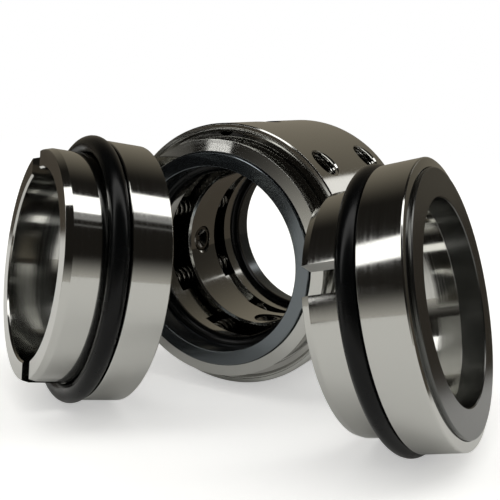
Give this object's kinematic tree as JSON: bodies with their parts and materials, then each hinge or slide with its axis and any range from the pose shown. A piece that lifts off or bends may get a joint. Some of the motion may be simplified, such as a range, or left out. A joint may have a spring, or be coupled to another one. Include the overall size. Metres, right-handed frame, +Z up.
{
  "type": "double component mechanical seal",
  "caption": "Double multi-spring shaft seal: a clamped drive collar with a sprung lapped face at each end, and two stepped stationary seats with O-rings.",
  "frame": {"origin": "centre of the drive collar on the shaft axis, 31.5 mm above the surface that the set stands on", "axes": "+Y along the shaft axis toward the rear end, -Y toward the front end that is seen, +Z up"},
  "size_m": [0.1144, 0.0987, 0.063],
  "materials": {
    "stainless": "turned and polished",
    "retainer_steel": "stamped",
    "screw_steel": "machined",
    "spring_steel": "drawn wire",
    "rotary_face": "lapped carbide",
    "seat_face": "lapped carbide",
    "rubber": "moulded"
  },
  "bodies": {
    "collar_and_seats": {"drive_collar": "stainless", "set_screws": "screw_steel", "front_drive_screws": "screw_steel", "rear_drive_screws": "screw_steel", "front_retaining_ring": "retainer_steel", "rear_retaining_ring": "retainer_steel", "left_seat_body": "stainless", "left_seat_face": "seat_face", "left_seat_ring": "rubber", "right_seat_body": "stainless", "right_seat_face": "seat_face", "right_seat_ring": "rubber", "front_spring_1": "spring_steel", "front_spring_2": "spring_steel", "front_spring_3": "spring_steel", "front_spring_4": "spring_steel", "front_spring_5": "spring_steel", "front_spring_6": "spring_steel", "front_spring_7": "spring_steel", "front_spring_8": "spring_steel", "rear_spring_1": "spring_steel", "rear_spring_2": "spring_steel", "rear_spring_3": "spring_steel", "rear_spring_4": "spring_steel", "rear_spring_5": "spring_steel", "rear_spring_6": "spring_steel", "rear_spring_7": "spring_steel", "rear_spring_8": "spring_steel"},
    "front_face_unit": {"front_face_holder": "stainless", "front_face_ring": "rotary_face", "front_shaft_ring": "rubber", "front_thrust_ring": "stainless"},
    "rear_face_unit": {"rear_face_holder": "stainless", "rear_face_ring": "rotary_face", "rear_shaft_ring": "rubber", "rear_thrust_ring": "stainless"}
  },
  "joints": [
    {"name": "front_face_slide", "type": "slide", "parent": "collar_and_seats", "child": "front_face_unit", "axis": [0, 1, 0], "range_m": [0, 0.0012], "stiffness_N_per_m": 20000, "springref_m": -0.002, "deforming": ["front_spring_1", "front_spring_2", "front_spring_3", "front_spring_4", "front_spring_5", "front_spring_6", "front_spring_7", "front_spring_8"]},
    {"name": "rear_face_slide", "type": "slide", "parent": "collar_and_seats", "child": "rear_face_unit", "axis": [0, -1, 0], "range_m": [0, 0.0012], "stiffness_N_per_m": 20000, "springref_m": -0.002, "deforming": ["rear_spring_1", "rear_spring_2", "rear_spring_3", "rear_spring_4", "rear_spring_5", "rear_spring_6", "rear_spring_7", "rear_spring_8"]}
  ]
}
